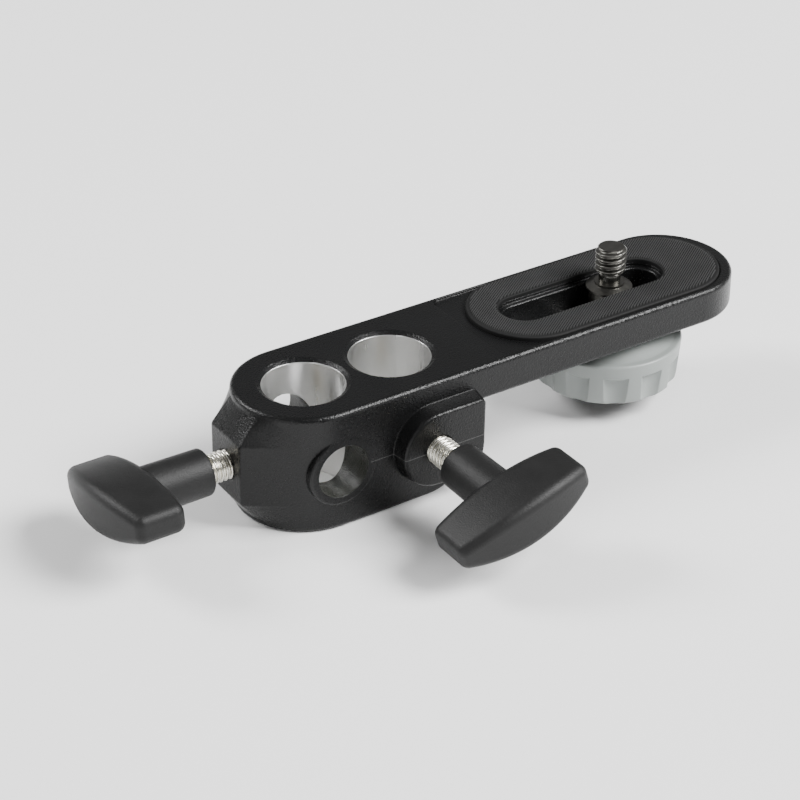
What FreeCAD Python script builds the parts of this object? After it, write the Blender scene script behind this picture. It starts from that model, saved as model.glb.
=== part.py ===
import FreeCAD, Part
import math
import os

# Studio bracket: a die-cast block with two spigot sockets and an umbrella hole, carrying a slotted
# camera arm.  Origin: axis of the first socket on the block's underside.  +X towards the arm, +Z up.
# All sizes in millimetres.

# ---- standard interfaces -------------------------------------------------------------------------
SOCKET_R = 8.1            # 5/8 inch spigot, 15.875 mm, in a 16.2 mm bore
CAMERA_THREAD_R = 3.175   # 1/4 inch camera thread, major radius
UMBRELLA_R = 5.5          # umbrella shafts of 7 to 10 mm
CLAMP_STUD_R = 2.95       # M6 clamp screws

# ---- casting -------------------------------------------------------------------------------------
PITCH = 19.5              # first socket to second socket
HALF_W = 14.2             # half width of block and arm at the parting plane
DRAFT = 0.20              # die draft: how much the outline shrinks from parting plane to face
HEIGHT = 25.2             # block height
MID = HEIGHT / 2          # parting plane, and height of every cross axis
ARM_T = 7.55              # arm thickness
ARM_END_X = 87.6          # centre of the arm's rounded end
REAR_REACH = 11.0         # second socket's axis to the block's rear face
REAR_R = 10.9             # rounded lower rear corner of the block
ARM_ROOT_R = 2.0          # fillet between the block's rear face and the arm
EDGE_R = 1.0              # cast edge radius, top and bottom outline
LEAD_IN = 1.0             # painted lead-in round each socket, radial
LEAD_DEPTH = 0.6          # and its depth
ARM_Z = HEIGHT - ARM_T    # underside of the arm
BLOCK_END_X = PITCH + REAR_REACH

NOSE_PROUD = 3.05         # end clamp nose, beyond the block's round end
NOSE_X = -HALF_W - NOSE_PROUD
NOSE_HALF_Y = 5.3
NOSE_HALF_Z = 6.4
NOSE_EDGE_R = 0.6
NOSE_FLUSH = math.radians(20.5)   # half width of the sloping facet where it runs out
NOSE_SINK = 0.15          # how far it dips into the block there
BOSS_PROUD = 3.5          # side clamp boss, above the block's side
BOSS_R = 8.35
BOSS_DRAFT = 0.45         # how much the boss narrows to its face
BOSS_EDGE_R = 0.55
BOSS_CORNER_R = 1.2       # its upper rear corner
RING_R = UMBRELLA_R + 1.75   # cast ring round the umbrella hole

# ---- pad and slot --------------------------------------------------------------------------------
PAD_SPAN = 33.2           # between the centres of the pad's round ends
PAD_BACK = 1.6            # pad's end centre, back from the arm's
PAD_RIM = 0.15            # flat rim between the arm's edge radius and the pocket
PAD_T = 1.15
POCKET_DEPTH = 0.5
POCKET_GAP = 0.2          # pad to pocket wall
POCKET_CLEAR = 2.5        # pad to the straight step at the block end of the pocket
POCKET_CORNER_R = 2.0
SLOT_SPAN = 29.0          # between the centres of the slot's round ends
SLOT_BACK = 5.35          # slot's end centre, back from the pad's
SLOT_HALF_W = 4.1         # through slot; the recess above it is as wide as the pad's slot
SLOT_STEP = 0.7           # the recess's ledge, below the pad's seat
SLOT_EDGE_R = 0.35
FLANGE_LIP = 0.65         # flange beyond the slot's edge
FLANGE_CLEAR = 0.4        # flange to the pad's own slot
PAD_EDGE = 0.35           # chamfer round the pad's outline
PAD_X1 = ARM_END_X - PAD_BACK
PAD_X0 = PAD_X1 - PAD_SPAN
PAD_HALF_W = HALF_W - DRAFT - EDGE_R - PAD_RIM - POCKET_GAP
POCKET_X = PAD_X0 - PAD_HALF_W - POCKET_CLEAR
SLOT_X1 = PAD_X1 - SLOT_BACK
SLOT_X0 = SLOT_X1 - SLOT_SPAN
FLANGE_R = SLOT_HALF_W + FLANGE_LIP
PAD_SLOT_HALF_W = FLANGE_R + FLANGE_CLEAR
PAD_SEAT_Z = HEIGHT - POCKET_DEPTH
LEDGE_Z = PAD_SEAT_Z - SLOT_STEP

# ---- camera screw and its knob -------------------------------------------------------------------
SCREW_BACK = 7.4          # where the screw stands, back from the slot's far end
SCREW_RISE = 8.15         # screw's top above the block
THREAD_RISE = 2.2         # start of its thread above the block
SHANK_R = 2.25
RUN_GAP = 0.08            # radial clearance of every running fit
FACE_GAP = 0.05           # axial clearance between faces that slide on each other
FLANGE_T = 0.45           # cylindrical part of the flange
FLANGE_CONE = 0.6         # height of its cone
RING_T = 0.4
RETAIN_LIP = 0.85         # retaining ring beyond the neck
SLIDE_WASHER_R = 9.0
SLIDE_WASHER_T = 1.0
WAVE_WASHER_R = 7.5
WAVE_WASHER_T = 0.4
KNOB_BELOW = 3.7          # top edge of the knob's rim below the arm
KNOB_H = 9.2
KNOB_TOP_R = 15.6
KNOB_LOW_R = 15.0
KNOB_HUB_R = 11.0         # flat top of the knob that bears on the washers
KNOB_BAND = 2.9           # plain band above the flutes
FLUTES = 12
FLUTE_DEPTH = 1.3
FLUTE_R = 3.7             # radius of the scoop
FLUTE_END = 40.0          # slope of its upper end, degrees
FLUTE_PHASE = 0.4         # direction of one flute centre
KNOB_EDGE_R = 0.6         # upper edge
KNOB_FOOT_R = 0.9         # lower edge
CAP_INSET = 1.8           # cap inside the knob's lower edge
CAP_DROP = 0.9            # how far the cap stands below the knob
CAP_SEAT = 1.0            # how deep it sits in the knob
INSERT_AF = 10.0          # hexagon insert moulded in the knob
INSERT_T = 6.0
SCREW_X = SLOT_X1 - SCREW_BACK
SCREW_TOP = HEIGHT + SCREW_RISE
THREAD_BASE = HEIGHT + THREAD_RISE
RETAIN_R = SHANK_R + RETAIN_LIP
KNOB_RIM_Z = ARM_Z - KNOB_BELOW
KNOB_LOW_Z = KNOB_RIM_Z - KNOB_H
CAP_R = KNOB_LOW_R - CAP_INSET

# ---- clamp screws --------------------------------------------------------------------------------
TIP_INSET = 0.65          # thrust tip inside the clamp screw's outline
TIP_T = 1.6
TIP_BACK = 0.3            # tip face behind the socket wall at rest
STUD_GAP_SIDE = 6.4       # bare screw between boss and knob
STUD_GAP_END = 4.6
STUD_SEAT = 12.0          # length of screw inside the knob
GRIP_WALL = 1.7           # knob hub round the screw, at its small end
GRIP_FLARE = 0.15         # and how much it widens up to the head
GRIP_NECK = 11.5          # hub length to the middle of the head
GRIP_NECK_END = 11.6      # and to the head's ends
GRIP_CROWN = 24.0         # outer face, middle
GRIP_CROWN_END = 21.4     # outer face, ends
GRIP_HALF_L = 14.8
GRIP_PROUD = 0.1          # head's middle beyond the hub
GRIP_END_T = 2.4          # half thickness, ends
GRIP_EDGE_R = 2.0
SIDE_GRIP_TURN = 17.6     # rest turn of the side knob, degrees
END_GRIP_TURN = 8.1       # rest turn of the end knob, degrees
TIP_R = CLAMP_STUD_R - TIP_INSET
GRIP_HUB_R0 = CLAMP_STUD_R + GRIP_WALL
GRIP_HUB_R1 = GRIP_HUB_R0 + GRIP_FLARE
GRIP_MID_T = GRIP_HUB_R1 + GRIP_PROUD     # half thickness, middle

V = FreeCAD.Vector
X_AXIS = V(1, 0, 0)
Y_AXIS = V(0, 1, 0)
Z_AXIS = V(0, 0, 1)


def racetrack(x0, x1, r, z):
    """Closed wire: two half circles of radius r about x0 and x1, at height z."""
    near = Part.makeLine(V(x0, -r, z), V(x1, -r, z))
    right = Part.Arc(V(x1, -r, z), V(x1 + r, 0, z), V(x1, r, z)).toShape()
    far = Part.makeLine(V(x1, r, z), V(x0, r, z))
    left = Part.Arc(V(x0, r, z), V(x0 - r, 0, z), V(x0, -r, z)).toShape()
    return Part.Wire([near, right, far, left])


def prism(wire, height, direction=Z_AXIS):
    """Solid made by pushing a closed flat wire along a direction."""
    return Part.Face(wire).extrude(direction * height)


def rod(r, start, end):
    """Cylinder of radius r between two points."""
    axis = end - start
    return Part.makeCylinder(r, axis.Length, start, axis)


def cone(r0, r1, start, end):
    """Cone frustum between two points."""
    axis = end - start
    return Part.makeCone(r0, r1, axis.Length, start, axis)


def disc(r, z0, z1, x=SCREW_X):
    """Upright cylinder about the camera screw's axis."""
    return rod(r, V(x, 0, z0), V(x, 0, z1))


def washer(r_out, r_in, z0, z1):
    return disc(r_out, z0, z1).cut(disc(r_in, z0 - 1, z1 + 1))


def edges_where(shape, test):
    """Edges whose points all satisfy the test."""
    found = []
    for edge in shape.Edges:
        points = edge.discretize(7)
        if all(test(p) for p in points):
            found.append(edge)
    return found


def near(a, b, tol=0.02):
    return abs(a - b) < tol


# ---- casting -------------------------------------------------------------------------------------
def outline_blank():
    """Block and arm in plan, drafted both ways from the parting plane."""
    mid = racetrack(0, ARM_END_X, HALF_W, MID)
    top = racetrack(0, ARM_END_X, HALF_W - DRAFT, HEIGHT)
    low = racetrack(0, ARM_END_X, HALF_W - DRAFT, 0)
    upper = Part.makeLoft([mid, top], True, True)
    lower = Part.makeLoft([low, mid], True, True)
    return lower.fuse(upper)


def side_profile(y0, y1):
    """Block and arm seen from the side, as a slab between two Y planes."""
    x_arc = BLOCK_END_X - REAR_R
    c = math.cos(math.pi / 4)
    corner = V(x_arc + REAR_R * c, y0, REAR_R - REAR_R * c)
    r = ARM_ROOT_R
    root = V(BLOCK_END_X + r - r * c, y0, ARM_Z - r + r * c)
    left = -3 * HALF_W
    right = ARM_END_X + 3 * HALF_W
    parts = [
        Part.makeLine(V(left, y0, 0), V(x_arc, y0, 0)),
        Part.Arc(V(x_arc, y0, 0), corner, V(BLOCK_END_X, y0, REAR_R)).toShape(),
        Part.makeLine(V(BLOCK_END_X, y0, REAR_R), V(BLOCK_END_X, y0, ARM_Z - r)),
        Part.Arc(V(BLOCK_END_X, y0, ARM_Z - r), root, V(BLOCK_END_X + r, y0, ARM_Z)).toShape(),
        Part.makeLine(V(BLOCK_END_X + r, y0, ARM_Z), V(right, y0, ARM_Z)),
        Part.makeLine(V(right, y0, ARM_Z), V(right, y0, HEIGHT)),
        Part.makeLine(V(right, y0, HEIGHT), V(left, y0, HEIGHT)),
        Part.makeLine(V(left, y0, HEIGHT), V(left, y0, 0)),
    ]
    return prism(Part.Wire(parts), y1 - y0, Y_AXIS)


def nose_full(angle, z):
    """Plan section of the nose at full size: flat face, flanks tangent to the block's round end."""
    x_in = -3.0
    x_side = -HALF_W * math.cos(angle)
    y_side = HALF_W * math.sin(angle)
    corners = [
        V(x_in, y_side, z),
        V(x_side, y_side, z),
        V(NOSE_X, NOSE_HALF_Y, z),
        V(NOSE_X, -NOSE_HALF_Y, z),
        V(x_side, -y_side, z),
        V(x_in, -y_side, z),
        V(x_in, y_side, z),
    ]
    return Part.makePolygon(corners)


def nose_flush(angle, z):
    """The same section shrunk onto the block's round end, where the slopes run out."""
    r = HALF_W - DRAFT - NOSE_SINK
    x_in = -3.0
    stops = []
    for a in (angle, NOSE_FLUSH, -NOSE_FLUSH, -angle):
        stops.append(V(-r * math.cos(a), r * math.sin(a), z))
    parts = [Part.makeLine(V(x_in, stops[0].y, z), stops[0])]
    for i, a in enumerate(((angle + NOSE_FLUSH) / 2, 0, -(angle + NOSE_FLUSH) / 2)):
        crown = V(-r * math.cos(a), r * math.sin(a), z)
        parts.append(Part.Arc(stops[i], crown, stops[i + 1]).toShape())
    parts.append(Part.makeLine(stops[3], V(x_in, stops[3].y, z)))
    parts.append(Part.makeLine(V(x_in, stops[3].y, z), V(x_in, stops[0].y, z)))
    return Part.Wire(parts)


def nose():
    """Faceted boss for the end clamp: upper and lower slopes run out at the block's edges."""
    reach = math.hypot(NOSE_X, NOSE_HALF_Y)
    angle = math.atan2(NOSE_HALF_Y, -NOSE_X) + math.acos(HALF_W / reach)
    full = [nose_full(angle, MID + s * NOSE_HALF_Z) for s in (-1, 1)]
    core = Part.makeLoft(full, True, True)
    under = Part.makeLoft([nose_flush(angle, EDGE_R), full[0]], True, True)
    over = Part.makeLoft([full[1], nose_flush(angle, HEIGHT - EDGE_R)], True, True)
    solid = core.fuse([under, over]).removeSplitter()
    face_edges = edges_where(solid, lambda p: near(p.x, NOSE_X))
    return solid.makeFillet(NOSE_EDGE_R, face_edges)


def boss_section(inset, y):
    """D-shaped outline of the side clamp boss, drawn in from its base outline by inset, at depth y."""
    r = BOSS_R - inset
    rear_r = REAR_R - inset
    x_arc = BLOCK_END_X - REAR_R
    x_rear = x_arc + rear_r
    x_low = x_arc + math.sqrt(rear_r ** 2 - (REAR_R - MID + r) ** 2)
    middle = math.atan2(MID - r - REAR_R, x_low - x_arc) / 2
    c = BOSS_CORNER_R
    d = c * math.sin(math.pi / 4)
    arc_mid = V(x_arc + rear_r * math.cos(middle), y, REAR_R + rear_r * math.sin(middle))
    parts = [
        Part.Arc(V(PITCH, y, MID + r), V(PITCH - r, y, MID), V(PITCH, y, MID - r)).toShape(),
        Part.makeLine(V(PITCH, y, MID - r), V(x_low, y, MID - r)),
        Part.Arc(V(x_low, y, MID - r), arc_mid, V(x_rear, y, REAR_R)).toShape(),
        Part.makeLine(V(x_rear, y, REAR_R), V(x_rear, y, MID + r - c)),
        Part.Arc(V(x_rear, y, MID + r - c), V(x_rear - c + d, y, MID + r - c + d), V(x_rear - c, y, MID + r)).toShape(),
        Part.makeLine(V(x_rear - c, y, MID + r), V(PITCH, y, MID + r)),
    ]
    return Part.Wire(parts)


def boss():
    """D-shaped boss for the side clamp, running out to the block's rear face."""
    front_y = -HALF_W - BOSS_PROUD
    root_y = -HALF_W + 3.0
    straight = prism(boss_section(0, root_y), root_y + HALF_W, -Y_AXIS)
    drafted = Part.makeLoft([boss_section(0, -HALF_W), boss_section(BOSS_DRAFT, front_y)], True, True)
    rim = edges_where(drafted, lambda p: near(p.y, front_y))
    return straight.fuse(drafted.makeFillet(BOSS_EDGE_R, rim))


def casting():
    # Each socket is bored from both faces, so its wall is two faces that meet at the parting plane.
    body = outline_blank().common(side_profile(-2 * HALF_W, 2 * HALF_W))
    body = body.removeSplitter()
    rim = edges_where(body, lambda p: near(p.z, HEIGHT))
    rim += edges_where(body, lambda p: near(p.z, 0) and p.x < BLOCK_END_X - REAR_R + 0.1
                       and abs(p.y) > 0.001 or near(p.z, 0) and p.x < 0)
    body = body.makeFillet(EDGE_R, rim)
    ring = rod(RING_R, V(0, -HALF_W, MID), V(0, HALF_W, MID))
    ring_rim = edges_where(ring, lambda p: near(abs(p.y), HALF_W))
    ring = ring.makeFillet(0.5, ring_rim)
    body = body.fuse([nose(), boss(), ring])
    for x in (0, PITCH):
        for z0, z1 in ((-1, MID), (MID, HEIGHT + 1)):
            body = body.cut(rod(SOCKET_R, V(x, 0, z0), V(x, 0, z1)))
        lip = V(x, 0, HEIGHT - LEAD_DEPTH)
        body = body.cut(cone(SOCKET_R, SOCKET_R + 2 * LEAD_IN, lip, V(x, 0, HEIGHT + LEAD_DEPTH)))
    body = body.cut(rod(UMBRELLA_R, V(0, -HALF_W - 1, MID), V(0, HALF_W + 1, MID)))
    hole_r = CLAMP_STUD_R + RUN_GAP
    body = body.cut(rod(hole_r, V(NOSE_X - 1, 0, MID), V(0, 0, MID)))
    body = body.cut(rod(hole_r, V(PITCH, -HALF_W - BOSS_PROUD - 1, MID), V(PITCH, 0, MID)))
    body = body.cut(pocket(PAD_SEAT_Z))
    body = body.cut(prism(racetrack(SLOT_X0, SLOT_X1, PAD_SLOT_HALF_W, LEDGE_Z), ARM_T))
    body = body.cut(prism(racetrack(SLOT_X0, SLOT_X1, SLOT_HALF_W, ARM_Z - 1), ARM_T + 2))
    slot_rim = edges_where(body, lambda p: near(p.z, LEDGE_Z) and abs(p.y) < SLOT_HALF_W + 0.1
                           and SLOT_X0 - SLOT_HALF_W - 0.1 < p.x < SLOT_X1 + SLOT_HALF_W + 0.1)
    return body.makeFillet(SLOT_EDGE_R, slot_rim)


def pocket(floor):
    """Shallow seat for the pad: straight at the block end, round at the other."""
    r = PAD_HALF_W + POCKET_GAP
    blank = prism(racetrack(POCKET_X + r, PAD_X1, r, floor), 2 * POCKET_DEPTH)
    square = Part.makeBox(2 * r, 2 * r, 2 * POCKET_DEPTH, V(POCKET_X, -r, floor))
    corners = edges_where(square, lambda p: near(p.x, POCKET_X) and near(abs(p.y), r))
    return blank.fuse(square.makeFillet(POCKET_CORNER_R, corners))


def pad():
    top = PAD_SEAT_Z + PAD_T
    blank = prism(racetrack(PAD_X0, PAD_X1, PAD_HALF_W, PAD_SEAT_Z), PAD_T)
    blank = blank.makeChamfer(PAD_EDGE, edges_where(blank, lambda p: near(p.z, top)))
    return blank.cut(prism(racetrack(SLOT_X0, SLOT_X1, PAD_SLOT_HALF_W, PAD_SEAT_Z - 1), PAD_T + 2))


# ---- camera screw, its slider and its knob -------------------------------------------------------
def slider_parts():
    seat = LEDGE_Z + FACE_GAP
    flange_top = seat + FLANGE_T
    bush = disc(SLOT_HALF_W - RUN_GAP, ARM_Z + FACE_GAP, seat)
    bush = bush.fuse(disc(FLANGE_R, seat, flange_top))
    bush = bush.fuse(cone(FLANGE_R, RETAIN_R, V(SCREW_X, 0, flange_top), V(SCREW_X, 0, flange_top + FLANGE_CONE)))
    bush = bush.removeSplitter().cut(disc(SHANK_R + RUN_GAP, ARM_Z - 1, HEIGHT + 5))
    top = ARM_Z - FACE_GAP
    slide_washer = washer(SLIDE_WASHER_R, SHANK_R + RUN_GAP, top - SLIDE_WASHER_T, top)
    return bush, slide_washer


def spindle_levels():
    """Heights stacked down from the arm's underside, and up from the flange."""
    wave_top = ARM_Z - 2 * FACE_GAP - SLIDE_WASHER_T
    hub_top = wave_top - WAVE_WASHER_T
    ring_low = LEDGE_Z + FACE_GAP + FLANGE_T + FLANGE_CONE + FACE_GAP
    return wave_top, hub_top, ring_low


def camera_screw():
    wave_top, hub_top, ring_low = spindle_levels()
    low = KNOB_LOW_Z + CAP_SEAT + 0.5
    chamfer = 0.55
    top = V(SCREW_X, 0, SCREW_TOP)
    screw = disc(SHANK_R, low, THREAD_BASE)
    screw = screw.fuse(disc(CAMERA_THREAD_R, THREAD_BASE, SCREW_TOP - chamfer))
    tip = cone(CAMERA_THREAD_R, CAMERA_THREAD_R - chamfer, top - Z_AXIS * chamfer, top)
    return screw.fuse(tip).removeSplitter()


def hexagon(across_flats, z0, z1):
    r = across_flats / math.sqrt(3)
    points = []
    for i in range(7):
        a = math.radians(60 * i)
        points.append(V(SCREW_X + r * math.cos(a), r * math.sin(a), z0))
    return prism(Part.makePolygon(points), z1 - z0)


def camera_knob():
    wave_top, hub_top, ring_low = spindle_levels()
    low = V(SCREW_X, 0, KNOB_LOW_Z)
    rim = V(SCREW_X, 0, KNOB_RIM_Z)
    knob = cone(KNOB_LOW_R, KNOB_TOP_R, low, rim)
    knob = knob.makeFillet(KNOB_EDGE_R, edges_where(knob, lambda p: near(p.z, KNOB_RIM_Z)))
    knob = knob.makeFillet(KNOB_FOOT_R, edges_where(knob, lambda p: near(p.z, KNOB_LOW_Z)))
    knob = knob.fuse(cone(KNOB_HUB_R + 3.0, KNOB_HUB_R, rim - Z_AXIS * 0.2, V(SCREW_X, 0, hub_top)))
    flute_top = KNOB_RIM_Z - KNOB_BAND
    for i in range(FLUTES):
        centre = FLUTE_PHASE + i * 360.0 / FLUTES
        knob = knob.cut(flute(centre, flute_top))
    knob = knob.cut(disc(CAP_R + 0.05, KNOB_LOW_Z - 1, KNOB_LOW_Z + CAP_SEAT))
    knob = knob.cut(disc(SHANK_R + 0.02, KNOB_LOW_Z - 1, hub_top + 1))
    insert_z = KNOB_LOW_Z + CAP_SEAT
    knob = knob.cut(hexagon(INSERT_AF + 0.04, insert_z - 0.5, insert_z + INSERT_T + 0.02))
    return knob


def flute(centre, top):
    """Cutter for one flute: an upright scoop whose upper end slopes out to the rim's plain band."""
    taper = (KNOB_TOP_R - KNOB_LOW_R) / (KNOB_RIM_Z - KNOB_LOW_Z)
    r = KNOB_TOP_R - taper * (KNOB_RIM_Z - top)
    floor = r - FLUTE_DEPTH
    run = FLUTE_DEPTH + 0.5
    fall = run * math.tan(math.radians(FLUTE_END))
    scoop = rod(FLUTE_R, V(floor + FLUTE_R, 0, KNOB_LOW_Z - 1), V(floor + FLUTE_R, 0, top))
    y = -FLUTE_R - 1
    end = [V(r, y, top), V(r, y, top + 1), V(r - run, y, top + 1), V(r - run, y, top - fall), V(r, y, top)]
    scoop = scoop.cut(prism(Part.makePolygon(end), 2 * FLUTE_R + 2, Y_AXIS))
    scoop.rotate(V(0, 0, 0), Z_AXIS, centre)
    scoop.translate(V(SCREW_X, 0, 0))
    return scoop


def spindle_parts():
    wave_top, hub_top, ring_low = spindle_levels()
    ring = washer(RETAIN_R, SHANK_R + 0.02, ring_low, ring_low + RING_T)
    wave = washer(WAVE_WASHER_R, SHANK_R + 0.3, hub_top, wave_top - FACE_GAP)
    insert_z = KNOB_LOW_Z + CAP_SEAT
    insert = hexagon(INSERT_AF, insert_z, insert_z + INSERT_T).cut(disc(SHANK_R + 0.01, insert_z - 1, HEIGHT))
    cap = disc(CAP_R, KNOB_LOW_Z - CAP_DROP, KNOB_LOW_Z + CAP_SEAT - 0.02)
    cap = cap.makeFillet(0.3, edges_where(cap, lambda p: near(p.z, KNOB_LOW_Z - CAP_DROP)))
    return ring, wave, insert, cap


# ---- clamp screws --------------------------------------------------------------------------------
# Each clamp is drawn along +Z with the knob's small end at the origin, then laid into place.
def grip():
    """T-shaped knob: lens-shaped head on a tapered hub."""
    lens = Part.Wire([
        Part.Arc(V(-GRIP_HALF_L, GRIP_END_T, 0), V(0, GRIP_MID_T, 0), V(GRIP_HALF_L, GRIP_END_T, 0)).toShape(),
        Part.makeLine(V(GRIP_HALF_L, GRIP_END_T, 0), V(GRIP_HALF_L, -GRIP_END_T, 0)),
        Part.Arc(V(GRIP_HALF_L, -GRIP_END_T, 0), V(0, -GRIP_MID_T, 0), V(-GRIP_HALF_L, -GRIP_END_T, 0)).toShape(),
        Part.makeLine(V(-GRIP_HALF_L, -GRIP_END_T, 0), V(-GRIP_HALF_L, GRIP_END_T, 0)),
    ])
    y = -2 * GRIP_MID_T
    crown = Part.Wire([
        Part.Arc(V(-GRIP_HALF_L, y, GRIP_NECK_END), V(0, y, GRIP_NECK), V(GRIP_HALF_L, y, GRIP_NECK_END)).toShape(),
        Part.makeLine(V(GRIP_HALF_L, y, GRIP_NECK_END), V(GRIP_HALF_L, y, GRIP_CROWN_END)),
        Part.Arc(V(GRIP_HALF_L, y, GRIP_CROWN_END), V(0, y, GRIP_CROWN), V(-GRIP_HALF_L, y, GRIP_CROWN_END)).toShape(),
        Part.makeLine(V(-GRIP_HALF_L, y, GRIP_CROWN_END), V(-GRIP_HALF_L, y, GRIP_NECK_END)),
    ])
    head = prism(lens, GRIP_CROWN + 5).common(prism(crown, 4 * GRIP_MID_T, Y_AXIS))
    head = head.makeFillet(GRIP_EDGE_R, head.Edges)
    hub = cone(GRIP_HUB_R0, GRIP_HUB_R1, V(0, 0, 0), V(0, 0, GRIP_NECK + GRIP_EDGE_R + 0.2))
    hub = hub.makeFillet(0.6, edges_where(hub, lambda p: near(p.z, 0)))
    knob = hub.fuse(head)
    return knob.cut(rod(CLAMP_STUD_R + 0.01, V(0, 0, -1), V(0, 0, STUD_SEAT)))


def stud(gap, wall):
    """Clamp screw: from inside the knob out to the thrust tip's seat."""
    reach = gap + wall - TIP_BACK - TIP_T
    shaft = rod(CLAMP_STUD_R, V(0, 0, -reach), V(0, 0, STUD_SEAT - 0.02))
    nib = rod(TIP_R / 2, V(0, 0, -reach), V(0, 0, -reach + 1.5))
    return shaft.cut(nib), reach


def tip(reach):
    """Thrust tip: a disc that bears on the spigot, with a stem in the screw's end."""
    head = rod(TIP_R, V(0, 0, -reach - TIP_T), V(0, 0, -reach - FACE_GAP))
    stem = rod(TIP_R / 2 - RUN_GAP, V(0, 0, -reach - FACE_GAP), V(0, 0, -reach + 1.4))
    return head.fuse(stem)


def clamp(gap, wall, turn, place):
    """Grip, stud and tip of one clamp, turned about their axis and laid into place."""
    shaft, reach = stud(gap, wall)
    spin = FreeCAD.Placement(V(0, 0, 0), FreeCAD.Rotation(Z_AXIS, turn))
    placed = []
    for shape in (grip(), shaft, tip(reach)):
        shape.Placement = place.multiply(spin)
        placed.append(shape)
    return placed


# ---- assembly ------------------------------------------------------------------------------------
def build():
    boss_y = -HALF_W - BOSS_PROUD
    side_place = FreeCAD.Placement(V(PITCH, boss_y - STUD_GAP_SIDE, MID), FreeCAD.Rotation(X_AXIS, 90))
    side = clamp(STUD_GAP_SIDE, -boss_y - SOCKET_R, SIDE_GRIP_TURN, side_place)
    end_place = FreeCAD.Placement(V(NOSE_X - STUD_GAP_END, 0, MID), FreeCAD.Rotation(Y_AXIS, -90))
    end = clamp(STUD_GAP_END, -NOSE_X - SOCKET_R, 90 + END_GRIP_TURN, end_place)
    bush, slide_washer = slider_parts()
    ring, wave, insert, cap = spindle_parts()
    return {
        "bracket_body": casting(),
        "grip_pad": pad(),
        "side_clamp_knob": side[0],
        "side_clamp_screw": side[1],
        "side_clamp_tip": side[2],
        "end_clamp_knob": end[0],
        "end_clamp_screw": end[1],
        "end_clamp_tip": end[2],
        "slider_bush": bush,
        "slider_washer": slide_washer,
        "camera_screw": camera_screw(),
        "retaining_ring": ring,
        "wave_washer": wave,
        "camera_knob": camera_knob(),
        "knob_insert": insert,
        "knob_cap": cap,
    }


os.makedirs("parts", exist_ok=True)
for name, shape in build().items():
    shape.exportStep("parts/" + name + ".step")
    print(name, len(shape.Solids), shape.isValid(), round(shape.Volume, 1))
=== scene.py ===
# %% [markdown]
# # A studio bracket in Blender
# The bracket holds a camera or a flash on a light stand and takes an umbrella through its side. It is a
# black die casting with two bright bored sockets, two T-knob clamps, a ribbed rubber pad and a camera screw
# that slides in a slot, locked by a grey knob underneath.
#
# The solids come from the CAD pack and are never moved. Blender adds what the solids leave out: real
# threads, the pad's ribs, soft moulded edges, and finishes.

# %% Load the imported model
import math

import bpy
import numpy as np
from mathutils import Matrix, Vector


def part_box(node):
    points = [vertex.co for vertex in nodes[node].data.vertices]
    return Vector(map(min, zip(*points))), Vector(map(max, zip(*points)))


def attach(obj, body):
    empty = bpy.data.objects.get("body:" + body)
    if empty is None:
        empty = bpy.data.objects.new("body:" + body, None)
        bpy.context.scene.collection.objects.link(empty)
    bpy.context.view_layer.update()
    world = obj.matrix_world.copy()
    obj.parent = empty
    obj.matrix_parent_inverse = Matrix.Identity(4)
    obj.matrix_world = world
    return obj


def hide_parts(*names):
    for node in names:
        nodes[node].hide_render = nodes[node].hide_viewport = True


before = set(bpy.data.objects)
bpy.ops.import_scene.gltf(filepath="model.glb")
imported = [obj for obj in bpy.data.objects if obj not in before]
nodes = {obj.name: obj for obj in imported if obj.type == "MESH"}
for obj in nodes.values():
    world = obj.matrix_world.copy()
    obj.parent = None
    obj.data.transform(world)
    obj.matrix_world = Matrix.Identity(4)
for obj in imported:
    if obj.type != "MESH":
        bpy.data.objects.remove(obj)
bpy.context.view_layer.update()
MM = 0.001
print("nodes:", ", ".join(sorted(nodes)))

# %% [markdown]
# ## Measures taken from the solids
# Everything drawn here has to sit on the CAD model, so most places are read from the boxes of the nodes. A
# box gives the two corners of a node at rest, which is enough for the axes of the screws and the knobs.
# Radii of bores and the ends of the slot can't be read from a box, so they are written out as named values.

# %% Axes and levels


def span(node):
    """Low corner, high corner and middle of a CAD node, in metres."""
    low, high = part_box(node)
    return low, high, (low + high) / 2


BLOCK_TOP = span("bracket_body")[1].z
screw_low, screw_high, screw_mid = span("camera_screw")
knob_low, knob_high, _ = span("camera_knob")
pad_low, pad_high, _ = span("grip_pad")
side_low, side_high, side_mid = span("side_clamp_screw")
end_low, end_high, end_mid = span("end_clamp_screw")
CLAMP_Z = side_mid.z
PITCH = side_mid.x
SOCKET_R = 8.1 * MM
UMBRELLA_R = 5.5 * MM
print(f"block top at {BLOCK_TOP / MM:.1f} mm, clamp axes at {CLAMP_Z / MM:.1f} mm")
print(f"sockets {PITCH / MM:.1f} mm apart")

# %% [markdown]
# ## Camera
# A product shot of a small part is taken with a short telephoto from about half a metre, which keeps the
# far end from shrinking. The camera is placed by its distance and two angles from an aim point in the
# block, then rolled by a fraction of a degree. Angles are easier to judge and to change than a position
# would be.

# %% Camera by angles
AIM = Vector((0.019688, -0.003515, 0.016358))
AZIMUTH = math.radians(-34.10)
ELEVATION = math.radians(31.30)
ROLL = math.radians(0.69)
DISTANCE = 0.448
LENS = 104.04
SENSOR = 36
NEAREST_SEEN = 0.01


def camera_axes(azimuth, elevation, roll):
    """Right, up and back directions of a camera that looks at the aim point."""
    level = math.cos(elevation)
    back = Vector((math.sin(azimuth) * level, -math.cos(azimuth) * level, math.sin(elevation)))
    right = Vector((math.cos(azimuth), math.sin(azimuth), 0))
    up = back.cross(right)
    rolled_right = math.cos(roll) * right + math.sin(roll) * up
    rolled_up = math.cos(roll) * up - math.sin(roll) * right
    return rolled_right, rolled_up, back


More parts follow.
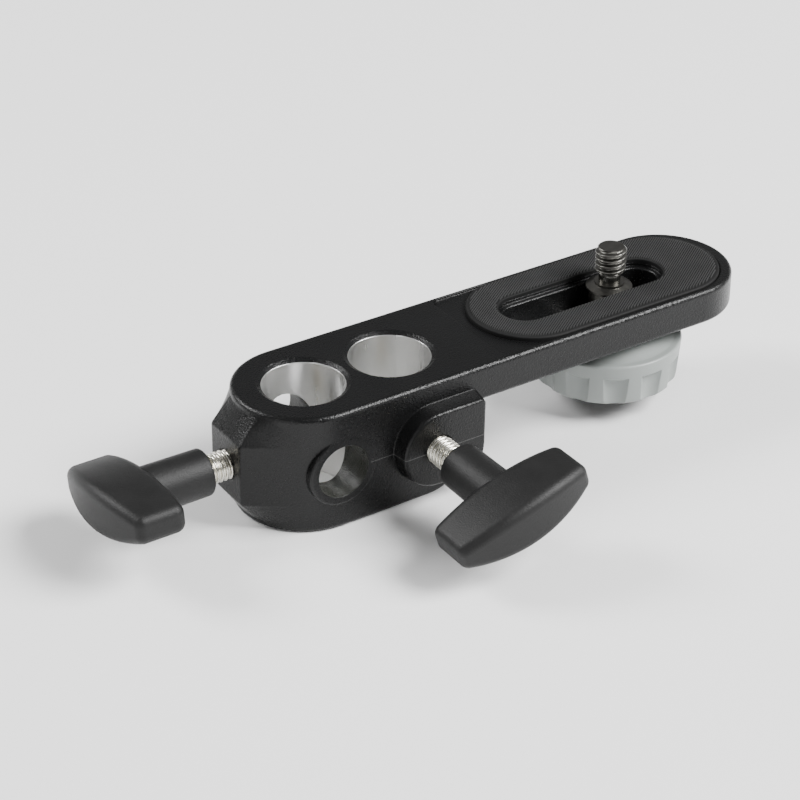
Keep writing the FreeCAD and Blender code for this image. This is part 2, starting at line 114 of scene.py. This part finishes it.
right, up, back = camera_axes(AZIMUTH, ELEVATION, ROLL)
camera = bpy.data.objects.new("camera", bpy.data.cameras.new("camera"))
bpy.context.scene.collection.objects.link(camera)
turn = Matrix((right, up, back)).transposed().to_4x4()
camera.matrix_world = Matrix.Translation(AIM + back * DISTANCE) @ turn
camera.data.lens = LENS
camera.data.sensor_width = SENSOR
camera.data.clip_start = NEAREST_SEEN
bpy.context.scene.camera = camera
print("camera at", [round(v / MM, 1) for v in camera.location], "mm")

# %% [markdown]
# ## Floor and light
# A pale seamless floor under a white surround gives a catalogue look. Black paint shows almost nothing of
# its own colour: what is seen is the reflection of the lights, so their size and place draw the shape. The
# strong lamp is a broad one at the right front, a second stands behind on the left, and a faint one lifts
# the end face. Three lamps are easier to balance than a panorama of a studio.

# %% Floor, surround and lamps
FLOOR_HALF = 1.5
FLOOR_DROP = 0.05 * MM
SUBJECT = Vector((0.03, 0, 0.012))
LAMP_DISTANCE = 1.5

floor_corners = [(x * FLOOR_HALF, y * FLOOR_HALF, 0) for x, y in ((-1, -1), (1, -1), (1, 1), (-1, 1))]
floor_mesh = bpy.data.meshes.new("floor")
floor_mesh.from_pydata(floor_corners, [], [(0, 1, 2, 3)])
floor = bpy.data.objects.new("floor", floor_mesh)
bpy.context.scene.collection.objects.link(floor)
floor.location.z = -FLOOR_DROP

floor_paint = bpy.data.materials.new("floor_paint")
floor_paint.use_nodes = True
floor_surface = floor_paint.node_tree.nodes["Principled BSDF"]
floor_surface.inputs["Base Color"].default_value = (0.93, 0.93, 0.93, 1)
floor_surface.inputs["Roughness"].default_value = 0.9
floor_mesh.materials.append(floor_paint)

world = bpy.data.worlds.new("surround")
bpy.context.scene.world = world
world.use_nodes = True
sky = world.node_tree.nodes["Background"]
sky.inputs["Color"].default_value = (1.0, 1.0, 1.0, 1)
sky.inputs["Strength"].default_value = 0.26


def lamp(name, way, size, watts):
    """A square soft light in a direction from the bracket, turned to face it."""
    data = bpy.data.lights.new(name, "AREA")
    data.size = size
    data.energy = watts
    obj = bpy.data.objects.new(name, data)
    bpy.context.scene.collection.objects.link(obj)
    obj.location = SUBJECT + Vector(way).normalized() * LAMP_DISTANCE
    obj.rotation_euler = (SUBJECT - obj.location).to_track_quat("-Z", "Y").to_euler()


lamp("right_front", (0.53, -0.50, 0.70), 0.75, 56.0)
lamp("left_back", (-0.50, 0.60, 0.62), 0.60, 22.0)
lamp("left_front", (-0.80, -0.45, 0.30), 0.50, 3.0)

# %% [markdown]
# ## Writing shaders as sums
# A finish is a small formula: how much paint, how much bare metal, how rough at this point. Wrapping a
# socket in a class with the usual operators lets the formula be written as one, and each operator adds its
# Math node. Colours would turn grey in a Math node, so they are blended by a Mix node instead.

# %% The Value and Finish classes


class Value:
    """A shader socket that can be used in a sum."""

    def __init__(self, finish, socket):
        self.finish = finish
        self.socket = socket

    def __add__(self, other):
        return self.finish.math("ADD", self, other)

    def __sub__(self, other):
        return self.finish.math("SUBTRACT", self, other)

    def __rsub__(self, other):
        return self.finish.math("SUBTRACT", other, self)

    def __mul__(self, other):
        return self.finish.math("MULTIPLY", self, other)

    def __lt__(self, other):
        return self.finish.math("LESS_THAN", self, other)

    def __gt__(self, other):
        return self.finish.math("GREATER_THAN", self, other)

    __radd__ = __add__
    __rmul__ = __mul__


class Finish:
    """A material, with its nodes made by one method."""

    def __init__(self, name, **fixed):
        self.material = bpy.data.materials.new(name)
        self.material.use_nodes = True
        self.tree = self.material.node_tree
        self.surface = self.tree.nodes["Principled BSDF"]
        for socket, number in fixed.items():
            self.surface.inputs[socket.replace("_", " ")].default_value = number
        self.place = self.node("ShaderNodeTexCoord", out="Object")

    def node(self, kind, settings=None, inputs=None, out=0):
        """Add a node: its settings first, then the values or links of its sockets."""
        made = self.tree.nodes.new(kind)
        for key, setting in (settings or {}).items():
            setattr(made, key, setting)
        for key, given in (inputs or {}).items():
            if isinstance(given, Value):
                self.tree.links.new(given.socket, made.inputs[key])
            else:
                made.inputs[key].default_value = given
        return Value(self, made.outputs[out])

    def math(self, operation, *terms):
        return self.node("ShaderNodeMath", {"operation": operation}, dict(enumerate(terms)))

    def axes(self):
        """The three coordinates of the point being shaded, in metres."""
        split = self.tree.nodes.new("ShaderNodeSeparateXYZ")
        self.tree.links.new(self.place.socket, split.inputs[0])
        return [Value(self, split.outputs[i]) for i in range(3)]

    def stretched(self, x, y, z):
        """The shading point with each axis scaled."""
        return self.node("ShaderNodeVectorMath", {"operation": "MULTIPLY"}, {0: self.place, 1: (x, y, z)})

    def noise(self, size, detail=3.0, rough=0.55, place=None):
        """Noise whose blobs are about size metres across, from 0 to 1."""
        return self.node(
            "ShaderNodeTexNoise",
            inputs={"Vector": place or self.place, "Scale": 1 / size, "Detail": detail, "Roughness": rough},
        )

    def cells(self, size):
        """Distance to the nearest of many scattered points, about size metres apart."""
        return self.node(
            "ShaderNodeTexVoronoi",
            {"feature": "F1"},
            {"Vector": self.place, "Scale": 1 / size},
            out="Distance",
        )

    def blend(self, factor, colour_a, colour_b):
        """Colour a where the factor is 0, colour b where it is 1."""
        return self.node("ShaderNodeMix", {"data_type": "RGBA"}, {0: factor, 6: colour_a, 7: colour_b}, out=2)

    def bump(self, height, depth, normal=None):
        """A normal tilted by a height from 0 to 1, worth depth metres."""
        inputs = {"Height": height, "Distance": depth, "Strength": 1.0}
        if normal is not None:
            inputs["Normal"] = normal
        return self.node("ShaderNodeBump", inputs=inputs)

    def feed(self, **links):
        """Link values to the shader's sockets, an underscore standing for a space."""
        for socket, value in links.items():
            self.tree.links.new(value.socket, self.surface.inputs[socket.replace("_", " ")])


def grey(level, warm=0.0):
    """A neutral colour, a touch warmer or cooler."""
    return (level * (1 + warm), level, level * (1 - warm), 1)


def dress(obj, finish):
    """Give every material slot of an object one finish."""
    if not obj.data.materials:
        obj.data.materials.append(finish.material)
    for i in range(len(obj.material_slots)):
        obj.material_slots[i].material = finish.material


print("shader helpers ready")

# %% [markdown]
# ## Casting finish: black powder coat, bored sockets
# The casting is powder coated, which leaves a fine orange peel that breaks up every highlight. The sockets
# are bored after painting, so their walls are bare turned aluminium, and the painted lead-in ends in a
# crisp line. The two halves of the die leave a fine parting line at mid height; its thin light line is a
# painted highlight, a lighter colour in place of the light that the parting line catches. One material
# does it all: the distance from each socket's axis says where paint stops. A separate liner mesh would do
# too, but it would leave a step at the umbrella hole, where the two walls cross.

# %% Powder coat and bare bores
PAINT = grey(0.0035, -0.03)
PAINT_WORN = grey(0.006, -0.02)
CROSS_PAINT = (0.020, 0.021, 0.018, 1)
ALUMINIUM = (0.92, 0.92, 0.91, 1)
BORE_EDGE = 0.03 * MM
SEAM_HALF = 0.07 * MM
SEAM_START = 6.0 * MM
EDGE_R = 0.45 * MM
PEEL_DEPTH = 0.085 * MM

casting = Finish("powder_coat", Specular_IOR_Level=0.26)
x, y, z = casting.axes()


def from_axis(finish, a, b):
    """Distance of the shading point from an axis, given its two offsets."""
    return finish.math("SQRT", a * a + b * b)


first = from_axis(casting, x, y)
second = from_axis(casting, x - PITCH, y)
bare = casting.math("MINIMUM", first, second) < SOCKET_R + BORE_EDGE
cross = from_axis(casting, x, z - CLAMP_Z) < UMBRELLA_R + BORE_EDGE
peel = casting.noise(0.42 * MM, detail=2.0, rough=0.5)
speck = casting.cells(0.30 * MM)
patch = casting.noise(9 * MM, detail=4.0)
turned = casting.noise(0.16 * MM, detail=3.0, place=casting.stretched(0.02, 0.02, 1.0))
streak = casting.noise(2.2 * MM, detail=2.0, place=casting.stretched(1.0, 1.0, 0.12))
paint = casting.blend(patch, PAINT, PAINT_WORN)
paint = casting.blend(cross, paint, CROSS_PAINT)
# Painted highlight: a thin lighter band along the parting line at clamp height, in place of the light the
# line catches.
painted_seam_glint = (casting.math("ABSOLUTE", z - CLAMP_Z) < SEAM_HALF) * (x > SEAM_START) * (1 - cross)
paint = casting.blend(painted_seam_glint * (0.35 + patch), paint, grey(0.075))
paint_rough = 0.20 + peel * 0.12 + patch * 0.06
metal_rough = 0.22 + streak * 0.16
rounded = casting.node("ShaderNodeBevel", {"samples": 6}, {"Radius": EDGE_R})
skin = (peel * 0.7 + speck * 0.5) * (1 - bare) + turned * 0.06 * bare
casting.feed(
    Base_Color=casting.blend(bare, paint, ALUMINIUM),
    Metallic=bare,
    Roughness=paint_rough * (1 - bare) + metal_rough * bare,
    Normal=casting.bump(skin, PEEL_DEPTH, rounded),
)
dress(nodes["bracket_body"], casting)
print("powder coat on bracket_body")

# %% [markdown]
# ## Moulded plastics and rubber
# The two clamp knobs are glass-filled nylon straight from a spark-eroded mould, so their skin is an even
# fine grain that keeps highlights soft. The lower knob is a smoother light grey plastic, and its cap a
# plain black one. The pad is soft black rubber with little gloss. Its ribs are given a lighter copy of
# that rubber and the pad around them a darker one: painted light on the ribs and painted shade in the
# grooves between them. Each is the same recipe with its own grain size, depth and roughness, so one
# function makes them all.

# %% Plastics and rubber


def moulded(name, dark, light, grain, depth, rough, spread, **fixed):
    """Moulded skin: mottled colour, grain bump, uneven roughness."""
    finish = Finish(name, **fixed)
    fine = finish.noise(grain, detail=3.0, rough=0.6)
    broad = finish.noise(grain * 14, detail=4.0)
    finish.feed(
        Base_Color=finish.blend(broad, dark, light),
        Roughness=rough + fine * spread + broad * spread,
        Normal=finish.bump(fine, depth),
    )
    return finish


nylon = moulded(
    "black_nylon", grey(0.006), grey(0.012), 0.30 * MM, 0.075 * MM, 0.38, 0.10, Specular_IOR_Level=0.28
)
# Painted shade and light: the pad's rubber is darker and the ribs' copy of it lighter, so the grooves read
# dark and the ribs bright.
rubber = moulded(
    "pad_rubber", grey(0.007), grey(0.010), 0.15 * MM, 0.010 * MM, 0.55, 0.12, Specular_IOR_Level=0.18
)
rib_rubber_lit = moulded(
    "rib_rubber_lit", grey(0.020), grey(0.032), 0.30 * MM, 0.030 * MM, 0.45, 0.12, Specular_IOR_Level=0.35
)
grey_plastic = moulded(
    "grey_plastic", (0.24, 0.26, 0.25, 1), (0.28, 0.30, 0.29, 1), 0.5 * MM, 0.004 * MM, 0.33, 0.06
)
cap_plastic = moulded("cap_plastic", grey(0.015), grey(0.022), 0.3 * MM, 0.008 * MM, 0.35, 0.08)
for name in ("side_clamp_knob", "end_clamp_knob"):
    dress(nodes[name], nylon)
dress(nodes["grip_pad"], rubber)
dress(nodes["camera_knob"], grey_plastic)
dress(nodes["knob_cap"], cap_plastic)
print("plastics:", nylon.material.name, rubber.material.name, grey_plastic.material.name)

# %% [markdown]
# ## Plated, blackened and plain metals
# The clamp screws are zinc plated, mottled from silver to a faint yellow. The camera screw, its bush and
# its ring are blackened steel, and the hidden tips, insert and washers are brass and bright steel. Metal
# colour goes in Base Color with Metallic at 1, because a metal has no other colour than that of its
# reflection.

# %% Metals


def metal(name, dark, light, mottle, rough, spread):
    """Plain metal: two tones mixed in patches, and an uneven polish."""
    finish = Finish(name, Metallic=1.0)
    broad = finish.noise(mottle, detail=5.0, rough=0.6)
    fine = finish.noise(mottle * 0.12, detail=3.0)
    finish.feed(
        Base_Color=finish.blend(broad, dark, light),
        Roughness=rough + broad * spread + fine * spread,
        Normal=finish.bump(fine, 0.003 * MM),
    )
    return finish


zinc = metal("zinc_plate", (0.62, 0.59, 0.48, 1), (0.88, 0.87, 0.83, 1), 1.2 * MM, 0.16, 0.10)
black_steel = metal("blackened_steel", (0.10, 0.098, 0.090, 1), (0.21, 0.205, 0.19, 1), 1.5 * MM, 0.20, 0.12)
brass = metal("turned_brass", (0.60, 0.47, 0.22, 1), (0.76, 0.62, 0.34, 1), 1.5 * MM, 0.22, 0.12)
steel = metal("bright_washer", (0.55, 0.55, 0.54, 1), (0.72, 0.72, 0.70, 1), 1.5 * MM, 0.22, 0.14)
for name in ("slider_bush", "retaining_ring"):
    dress(nodes[name], black_steel)
for name in ("slider_washer", "wave_washer"):
    dress(nodes[name], steel)
for name in ("side_clamp_tip", "end_clamp_tip", "knob_insert"):
    dress(nodes[name], brass)
print("metals:", zinc.material.name, black_steel.material.name, brass.material.name, steel.material.name)

# %% [markdown]
# ## Turned pieces from a grid
# A thread is a surface that goes round an axis. A grid of radius against height and angle describes it: the
# neck ignores the angle, and the thread lets the radius climb with it. Writing the grid straight into a
# mesh is quicker and cleaner than a screw modifier. The pad and the grey knob use the same rings of faces,
# closed up.

# %% The grid helper


def new_piece(name, points, faces, finish, body, smooth_angle=38.0):
    """Link a mesh, smooth it up to an angle, give it its finish and body."""
    mesh = bpy.data.meshes.new(name)
    mesh.from_pydata([tuple(p) for p in points], [], faces)
    mesh.validate()
    mesh.update()
    obj = bpy.data.objects.new(name, mesh)
    bpy.context.scene.collection.objects.link(obj)
    mesh.shade_smooth()
    mesh.set_sharp_from_angle(angle=math.radians(smooth_angle))
    dress(obj, finish)
    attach(obj, body)
    return obj


def ring_faces(rows, sides, closed):
    """Quads from each ring of points to the next; a closed band joins the last ring to the first."""
    faces = []
    for i in range(rows if closed else rows - 1):
        n = (i + 1) % rows
        for j in range(sides):
            k = (j + 1) % sides
            faces.append((i * sides + j, i * sides + k, n * sides + k, n * sides + j))
    return faces


def round_grid(heights, radii, origin, axis):
    """Points and faces of a surface round an axis; radii has a row for each height."""
    axis = Vector(axis).normalized()
    side = axis.orthogonal().normalized()
    other = axis.cross(side)
    rows, sides = radii.shape
    angle = np.linspace(0, 2 * math.pi, sides, endpoint=False)
    ring = np.outer(np.cos(angle), side) + np.outer(np.sin(angle), other)
    points = np.array(origin) + heights[:, None, None] * np.array(axis) + radii[:, :, None] * ring[None]
    faces = ring_faces(rows, sides, closed=False)
    faces.append(tuple(reversed(range(sides))))
    faces.append(tuple(range((rows - 1) * sides, rows * sides)))
    return points.reshape(-1, 3), faces


CREST_FROM = 0.84


def thread_radii(heights, sides, major, minor, pitch, run_in, run_out, root_share=0.16, shift=0.0):
    """Radii of a right-hand thread that fades out at both ends; root_share is a share of half a pitch."""
    angle = np.linspace(0, 2 * math.pi, sides, endpoint=False)
    phase = (heights[:, None] / pitch + shift - angle[None, :] / (2 * math.pi)) % 1.0
    flank = np.clip((np.abs(2 * phase - 1) - root_share) / (CREST_FROM - root_share), 0, 1)
    flank = flank * flank * (3 - 2 * flank)
    ends = np.clip((heights - heights[0]) / run_in, 0, 1) * np.clip((heights[-1] - heights) / run_out, 0, 1)
    root = major - (major - minor) * ends[:, None]
    return root + (major - root) * flank


print("grid helpers ready")

# %% [markdown]
# ## Clamp screws
# Each clamp is closed by an M6 screw with a 1 mm pitch. The thread is real geometry because a few turns
# show between the knob and the casting, in plain view, and bump could not change their outline. Crests are
# rounded off by the smooth step in the flank, as on a rolled thread.

# %% M6 threads
M6_MAJOR = 2.95 * MM
M6_MINOR = 2.42 * MM
M6_PITCH = 1.0 * MM
M6_FADE = 0.4 * M6_PITCH
M6_CHAMFER = 0.35 * MM
M6_SIDES = 56
STEPS_A_TURN = 12


def clamp_screw(name, node, start, axis, length, body):
    """A threaded rod, chamfered at both ends, in the place of a plain one."""
    step = M6_PITCH / STEPS_A_TURN
    heights = np.arange(0, length + step / 2, step)
    heights[-1] = length
    radii = thread_radii(heights, M6_SIDES, M6_MAJOR, M6_MINOR, M6_PITCH, M6_FADE, M6_FADE)
    chamfer = np.minimum(np.minimum(heights, length - heights) / M6_CHAMFER, 1.0)
    radii = np.minimum(radii, M6_MAJOR - M6_CHAMFER * (1 - chamfer[:, None]))
    points, faces = round_grid(heights, radii, start, axis)
    screw = new_piece(name, points, faces, zinc, body, 60)
    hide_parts(node)
    return screw


side_start = (side_mid.x, side_low.y, side_mid.z)
side_length = side_high.y - side_low.y
side_screw = clamp_screw(
    "side_clamp_thread", "side_clamp_screw", side_start, (0, 1, 0), side_length, "side_clamp"
)
end_start = (end_low.x, 0, end_mid.z)
end_length = end_high.x - end_low.x
end_screw = clamp_screw("end_clamp_thread", "end_clamp_screw", end_start, (1, 0, 0), end_length, "end_clamp")
print("clamp screws:", len(side_screw.data.polygons), "and", len(end_screw.data.polygons), "faces")

# %% [markdown]
# ## Camera screw
# The camera thread is 1/4 inch with 20 turns to the inch, a coarse 1.27 mm. Below it the screw is turned
# down to a plain neck that runs in the bush, and the thread runs out just above that. Its top is faced flat
# and chamfered so that it starts easily in a camera. The same grid makes all of it, as one list of rings.

# %% Camera screw with its neck
CAMERA_MAJOR = 3.175 * MM
CAMERA_MINOR = 2.40 * MM
CAMERA_PITCH = 1.27 * MM
NECK_R = 2.25 * MM
THREAD_RISE = 2.2 * MM
TOP_CHAMFER = 0.62 * MM
TOP_FACE_STEP = 0.35 * MM
START_STEP = 0.2 * MM
START_SLOPE = 1.1
NECK_RINGS = (0.5 * MM, 0.12 * MM)
CAMERA_SIDES = 72
CAMERA_STEPS_A_TURN = 16


def camera_screw():
    """The threaded part, with a plain neck below it and a flat face on top."""
    base = BLOCK_TOP + THREAD_RISE
    length = screw_high.z - base
    heights = np.append(np.arange(0, length, CAMERA_PITCH / CAMERA_STEPS_A_TURN), length)
    radii = thread_radii(
        heights, CAMERA_SIDES, CAMERA_MAJOR, CAMERA_MINOR, CAMERA_PITCH,
        run_in=0.5 * CAMERA_PITCH, run_out=0.01 * MM, root_share=0.30, shift=0.55,
    )
    chamfer = CAMERA_MAJOR - np.clip(heights - (length - TOP_CHAMFER), 0, None)
    start = CAMERA_MINOR - START_STEP + heights * START_SLOPE
    radii = np.minimum(np.minimum(radii, chamfer[:, None]), start[:, None])
    neck_heights = [screw_low.z - base] + [-drop for drop in NECK_RINGS]
    neck_radii = np.full((len(neck_heights), CAMERA_SIDES), NECK_R)
    face_radii = np.full((1, CAMERA_SIDES), radii[-1].min() - TOP_FACE_STEP)
    heights = np.concatenate([neck_heights, heights, [length]])
    radii = np.vstack([neck_radii, radii, face_radii])
    points, faces = round_grid(heights, radii, (screw_mid.x, 0, base), (0, 0, 1))
    screw = new_piece("camera_thread", points, faces, black_steel, "spindle", 50)
    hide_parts("camera_screw")
    return screw


screw = camera_screw()
print("camera screw:", len(screw.data.polygons), "faces")

# %% [markdown]
# ## Ribbed pad
# The rubber pad grips the camera with fine parallel ribs, just under half a millimetre apart, laid
# slantwise. They stop short of a plain border. The pad itself is a closed band of rings, from its outline
# with a rounded edge to its slot with a small lip. Every ring has the same count of points, so that faces
# join them simply.

# %% Pad outline and section
PAD_R = pad_high.y
PAD_X0 = pad_low.x + PAD_R
PAD_X1 = pad_high.x - PAD_R
PAD_TOP = pad_high.z
PAD_BASE = pad_low.z
SLOT_R = 5.15 * MM
SLOT_X0 = 51.65 * MM
SLOT_X1 = 80.65 * MM
PAD_EDGE = 0.35 * MM
SLOT_LIP = 0.25 * MM
RIB_HEIGHT = 0.24 * MM
ARC_POINTS = 28
RUN_POINTS = 20
RING = 2 * (ARC_POINTS + RUN_POINTS)


def racetrack(x0, x1, r):
    """Points round two half circles joined by straights, always the same count and order."""
    bend = np.linspace(-math.pi / 2, math.pi / 2, ARC_POINTS)
    right_end = np.stack([x1 + r * np.cos(bend), r * np.sin(bend)], 1)
    left_end = np.stack([x0 - r * np.cos(bend), -r * np.sin(bend)], 1)
    step = np.linspace(0, 1, RUN_POINTS + 2)[1:-1, None]
    top = right_end[-1] + (left_end[0] - right_end[-1]) * step
    bottom = left_end[-1] + (right_end[0] - left_end[-1]) * step
    return np.vstack([right_end, top, left_end, bottom])


def level_ring(x0, x1, r, z):
    return np.column_stack([racetrack(x0, x1, r), np.full(RING, z)])


def pad_mesh():
    """The pad's skin: up the outside, over the rounded edge, across the top and down the slot."""
    top = PAD_TOP - RIB_HEIGHT
    outer = [(0.0, PAD_BASE), (0.0, top - PAD_EDGE)]
    for step in range(1, 5):
        a = step * math.pi / 8
        outer.append((PAD_EDGE * (1 - math.cos(a)), top - PAD_EDGE * (1 - math.sin(a))))
    lip = [(1.0, 0.0), (0.4, 0.1), (0.1, 0.4), (0.0, 1.0)]
    inner = [(SLOT_LIP * out, top - SLOT_LIP * down) for out, down in lip] + [(0.0, PAD_BASE)]
    outer_rings = [level_ring(PAD_X0, PAD_X1, PAD_R - inset, z) for inset, z in outer]
    slot_rings = [level_ring(SLOT_X0, SLOT_X1, SLOT_R + out, z) for out, z in inner]
    between = [outer_rings[-1] * (1 - share) + slot_rings[0] * share for share in (0.25, 0.5, 0.75)]
    rings = outer_rings + between + slot_rings
    return np.vstack(rings), ring_faces(len(rings), RING, closed=True)


points, faces = pad_mesh()
pad = new_piece("pad_moulding", points, faces, rubber, "bracket", 40)
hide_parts("grip_pad")
print("pad:", len(pad.data.polygons), "faces")

# %% [markdown]
# ## Ribs of the pad
# Each rib is a low ridge of geometry with sloped ends, cut to the pad's outline by testing points along its
# line against the two racetrack shapes. A bump texture would be less work, but modelled ribs have real
# flanks that catch the light from every side.

# %% Ribs
RIB_PITCH = 0.46 * MM
RIB_ANGLE = math.radians(35)
RIB_FOOT = 0.15 * MM
RIB_CREST = 0.10 * MM
RIB_SINK = 0.02 * MM
PLAIN_BORDER = 0.85 * MM
SLOT_BORDER = 0.4 * MM
TEST_POINTS = 3000
SHORTEST = 12


def from_line(p, x0, x1):
    """Distance of points from the straight between two centres on the X axis."""
    nearest = np.clip(p[:, 0], x0, x1)
    return np.hypot(p[:, 0] - nearest, p[:, 1])


def in_ribbed_field(line):
    """True for the points that are inside the border and outside the slot's rim."""
    inside_border = from_line(line, PAD_X0, PAD_X1) < PAD_R - PLAIN_BORDER
    outside_slot = from_line(line, SLOT_X0, SLOT_X1) > SLOT_R + SLOT_BORDER
    return inside_border & outside_slot


def rib_mesh():
    """All ribs as one mesh of low ridges with sloped ends."""
    along = np.array([math.cos(RIB_ANGLE), math.sin(RIB_ANGLE)])
    across = np.array([-along[1], along[0]])
    centre = np.array([(PAD_X0 + PAD_X1) / 2, 0.0])
    reach = (PAD_X1 - PAD_X0) / 2 + PAD_R
    count = int(reach / RIB_PITCH)
    steps = np.linspace(-reach, reach, TEST_POINTS)
    low = PAD_TOP - RIB_HEIGHT - RIB_SINK
    slope = along * RIB_HEIGHT * 0.8
    points = []
    faces = []
    for n in range(-count, count + 1):
        line = centre + across * n * RIB_PITCH + steps[:, None] * along
        change = np.flatnonzero(np.diff(in_ribbed_field(line).astype(int)))
        for a, b in zip(change[::2], change[1::2]):
            if b - a < SHORTEST:
                continue
            base = len(points)
            for end, pull in ((line[a + 1], slope), (line[b], -slope)):
                points.append((*(end - across * RIB_FOOT), low))
                points.append((*(end + across * RIB_FOOT), low))
                points.append((*(end + pull + across * RIB_CREST), PAD_TOP))
                points.append((*(end + pull - across * RIB_CREST), PAD_TOP))
            a0, a1, a2, a3, b0, b1, b2, b3 = range(base, base + 8)
            faces += [(a0, b0, b3, a3), (a3, b3, b2, a2), (a2, b2, b1, a1)]
            faces += [(a0, a3, a2, a1), (b0, b1, b2, b3), (a0, a1, b1, b0)]
    return points, faces


points, faces = rib_mesh()
# The ribs take the lighter copy of the pad's rubber: painted light on the ribs.
ribs = new_piece("pad_ribs", points, faces, rib_rubber_lit, "bracket", 20)
print("pad ribs:", len(ribs.data.polygons) // 6)

# %% [markdown]
# ## Grey camera knob
# The knob is a tapered cup with twelve broad scoops that end below a plain band. Its radius at each height
# and angle is whichever is less: the tapered outline, or the near side of an upright cylinder laid into it.
# At its upper end the scoop runs out on a slope, which gives the curved line under the band. Cutting twelve
# cylinders away with booleans would give the same shape, but with long thin faces that shade badly.

# %% Knob surface
KNOB_TOP_R = 15.6 * MM
KNOB_LOW_R = 15.0 * MM
KNOB_RIM_Z = knob_low.z + 9.2 * MM
KNOB_EDGE = 0.6 * MM
KNOB_FOOT = 0.9 * MM
FLUTE_TOP = KNOB_RIM_Z - 2.9 * MM
FLUTE_DEPTH = 1.3 * MM
FLUTE_R = 3.7 * MM
FLUTE_SLOPE = math.tan(math.radians(40))
FLUTES = 12
FLUTE_PHASE = math.radians(0.4)
CAP_SEAT_R = 13.25 * MM
CAP_SEAT_DEPTH = 1.0 * MM
BORE_R = NECK_R + 0.02 * MM
HUB_R = 11.0 * MM
KNOB_SIDES = 720
MISS = 1.0


def wall(z):
    """Radius of the knob's tapered outline at a height."""
    return KNOB_LOW_R + (KNOB_TOP_R - KNOB_LOW_R) * (z - knob_low.z) / (KNOB_RIM_Z - knob_low.z)


def scoop_radius(off, z):
    """Radius where a ray meets the scoop, for angles off its centre; huge where it misses."""
    top_r = wall(FLUTE_TOP)
    axis_r = top_r - FLUTE_DEPTH + FLUTE_R
    inside = FLUTE_R**2 - (axis_r * np.sin(off)) ** 2
    near_side = axis_r * np.cos(off) - np.sqrt(np.clip(inside, 0, None))
    slope = top_r - (FLUTE_TOP - z) / FLUTE_SLOPE
    return np.where((inside > 0) & (z <= FLUTE_TOP), np.maximum(near_side, slope), MISS)


def knob_rows():
    """(radius, height, whether the scoops cut it) from the cap's seat round the outside to the bore."""
    low = knob_low.z
    seat = low + CAP_SEAT_DEPTH
    rows = [(BORE_R, seat, False), (CAP_SEAT_R, seat, False)]
    rows += [(CAP_SEAT_R, low + 0.12 * MM, False), (CAP_SEAT_R + 0.1 * MM, low, False)]
    for step in range(0, 6):
        a = step * math.pi / 10
        rows.append((wall(low) - KNOB_FOOT * (1 - math.sin(a)), low + KNOB_FOOT * (1 - math.cos(a)), True))
    for z in np.linspace(low + 1.6 * MM, FLUTE_TOP - 1.3 * MM, 5):
        rows.append((wall(z), z, True))
    for z in np.linspace(FLUTE_TOP - 1.15 * MM, FLUTE_TOP - 0.01 * MM, 14):
        rows.append((wall(z), z, True))
    for z in np.linspace(FLUTE_TOP + 0.3 * MM, KNOB_RIM_Z - KNOB_EDGE, 5):
        rows.append((wall(z), z, False))
    for step in range(1, 6):
        a = step * math.pi / 10
        z = KNOB_RIM_Z - KNOB_EDGE * (1 - math.sin(a))
        rows.append((KNOB_TOP_R - KNOB_EDGE * (1 - math.cos(a)), z, False))
    rows += [(14.3 * MM, KNOB_RIM_Z, False), (13.9 * MM, KNOB_RIM_Z + 0.05 * MM, False)]
    rows += [(HUB_R + 0.15 * MM, knob_high.z - 0.1 * MM, False), (HUB_R - 0.1 * MM, knob_high.z, False)]
    rows.append((BORE_R, knob_high.z, False))
    return rows


def knob_mesh():
    """Rings from the cap's seat round the outside to the bore, the scoops cut where they reach."""
    angle = np.linspace(0, 2 * math.pi, KNOB_SIDES, endpoint=False)
    pitch = 2 * math.pi / FLUTES
    off = (angle - FLUTE_PHASE + pitch / 2) % pitch - pitch / 2
    rows = knob_rows()
    points = np.zeros((len(rows), KNOB_SIDES, 3))
    for i, (r, z, cut) in enumerate(rows):
        radii = np.minimum(r, scoop_radius(off, z)) if cut else np.full(KNOB_SIDES, r)
        points[i, :, 0] = screw_mid.x + radii * np.cos(angle)
        points[i, :, 1] = radii * np.sin(angle)
        points[i, :, 2] = z
    return points.reshape(-1, 3), ring_faces(len(rows), KNOB_SIDES, closed=True)


points, faces = knob_mesh()
knob = new_piece("camera_knob_shell", points, faces, grey_plastic, "spindle", 35)
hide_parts("camera_knob")
print("knob:", len(knob.data.polygons), "faces")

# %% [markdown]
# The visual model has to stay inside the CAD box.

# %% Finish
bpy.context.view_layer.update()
